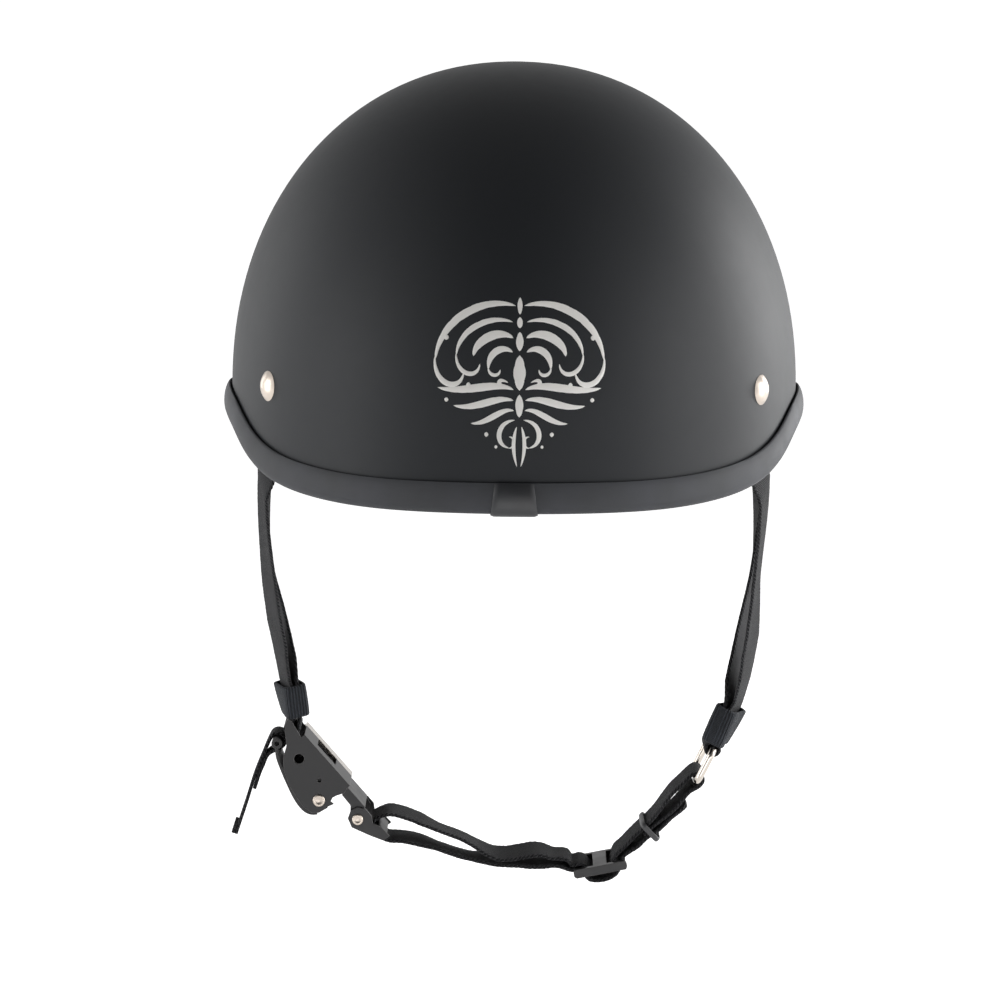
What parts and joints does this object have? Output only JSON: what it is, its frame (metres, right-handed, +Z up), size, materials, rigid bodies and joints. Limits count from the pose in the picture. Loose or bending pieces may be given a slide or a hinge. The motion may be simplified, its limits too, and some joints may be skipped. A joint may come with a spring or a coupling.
{
  "type": "half shell motorcycle helmet",
  "caption": "Half shell open-face motorcycle helmet with rubber edge trim, foam liner, comfort pads, riveted side straps and a chin strap on a quick-release lever buckle.",
  "frame": {"origin": "centre of the head opening, at the height of the shell's rear edge line", "axes": "+X towards the wearer's right, +Y towards the wearer's front, +Z up"},
  "size_m": [0.235, 0.2836, 0.3347],
  "materials": {
    "shell_paint": "matte black paint on a moulded shell",
    "trim_rubber": "satin extruded rubber",
    "joiner_plastic": "satin moulded plastic",
    "liner_foam": "moulded black foam beads",
    "pad_fabric": "brushed knit over foam",
    "rivet_nickel": "polished nickel plating",
    "washer_steel": "plain stamped steel",
    "webbing": "woven twill webbing",
    "keeper_webbing": "woven webbing, slightly faded",
    "buckle_black": "stamped steel with a satin black coating",
    "spring_steel": "drawn spring wire",
    "ring_chrome": "bright chrome plating",
    "slider_steel": "satin black coated steel",
    "band_rubber": "matte moulded rubber"
  },
  "bodies": {
    "helmet": {"outer_shell": "shell_paint", "edge_trim": "trim_rubber", "trim_joiner": "joiner_plastic", "impact_liner": "liner_foam", "crown_pad": "pad_fabric", "brow_pad": "pad_fabric", "nape_pad": "pad_fabric", "left_side_pad": "pad_fabric", "right_side_pad": "pad_fabric", "strap_rivets": "rivet_nickel", "rivet_washers": "washer_steel", "left_side_strap": "webbing", "right_side_strap": "webbing", "left_strap_keeper": "keeper_webbing", "right_strap_keeper": "keeper_webbing", "buckle_housing": "buckle_black", "lever_pin": "rivet_nickel", "lever_spring": "spring_steel", "chin_strap": "webbing", "strap_ring": "ring_chrome", "strap_slider": "slider_steel", "free_end_band": "band_rubber"},
    "lever": {"release_lever": "buckle_black", "pull_tab": "keeper_webbing"},
    "tongue": {"buckle_tongue": "buckle_black", "bracket_pin": "rivet_nickel"},
    "bracket": {"strap_bracket": "buckle_black"}
  },
  "joints": [
    {"name": "tongue_slide", "type": "slide", "parent": "helmet", "child": "tongue", "axis": [0.66, 0, -0.7513], "range_m": [0, 0.03], "deforming": ["chin_strap"]},
    {"name": "lever_hinge", "type": "hinge", "parent": "helmet", "child": "lever", "pos_m": [-0.07832, 0, -0.14106], "axis": [0, -1, 0], "range_deg": [0, 50], "stiffness_Nm_per_rad": 0.05, "springref_deg": -17.19, "deforming": ["lever_spring"]},
    {"name": "bracket_hinge", "type": "hinge", "parent": "tongue", "child": "bracket", "pos_m": [-0.06246, 0, -0.14895], "axis": [0, 1, 0], "range_deg": [-15, 15], "deforming": ["chin_strap"]}
  ],
  "couplings": [
    {"joint": "lever_hinge", "follows": "tongue_slide", "rad_per_m": 29.08}
  ]
}
